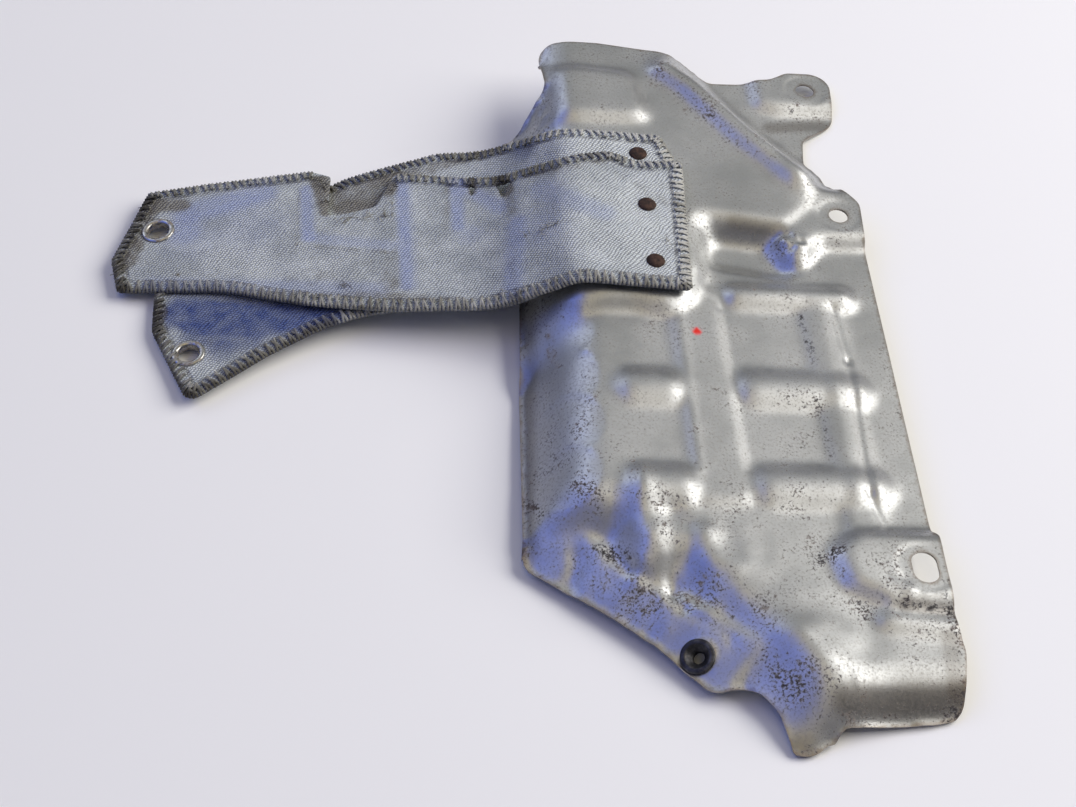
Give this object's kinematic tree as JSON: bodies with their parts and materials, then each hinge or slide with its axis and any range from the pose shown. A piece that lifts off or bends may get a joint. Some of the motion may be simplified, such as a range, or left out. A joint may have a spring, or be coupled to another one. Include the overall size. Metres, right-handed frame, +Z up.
{
  "type": "heat shield",
  "caption": "Pressed sheet-metal engine-bay heat shield with bolt tabs, a captive nut and two riveted cloth straps with eyelets.",
  "frame": {"origin": "centre of the footprint on the table", "axes": "+Z up from the table, +Y along the shield towards the far fixing tab, -X along the straps to their free ends"},
  "size_m": [0.287, 0.3238, 0.0306],
  "materials": {
    "pressed_sheet": "satin",
    "strap_cloth": "woven",
    "rivet_metal": "rusty",
    "eyelet_metal": "plated",
    "nut_metal": "dark"
  },
  "bodies": {
    "root": {"shield_panel": "pressed_sheet", "upper_strap": "strap_cloth", "lower_strap": "strap_cloth", "upper_eyelet": "eyelet_metal", "lower_eyelet": "eyelet_metal", "clinch_nut": "nut_metal", "strap_rivet_1": "rivet_metal", "strap_rivet_2": "rivet_metal", "strap_rivet_3": "rivet_metal"}
  },
  "joints": []
}
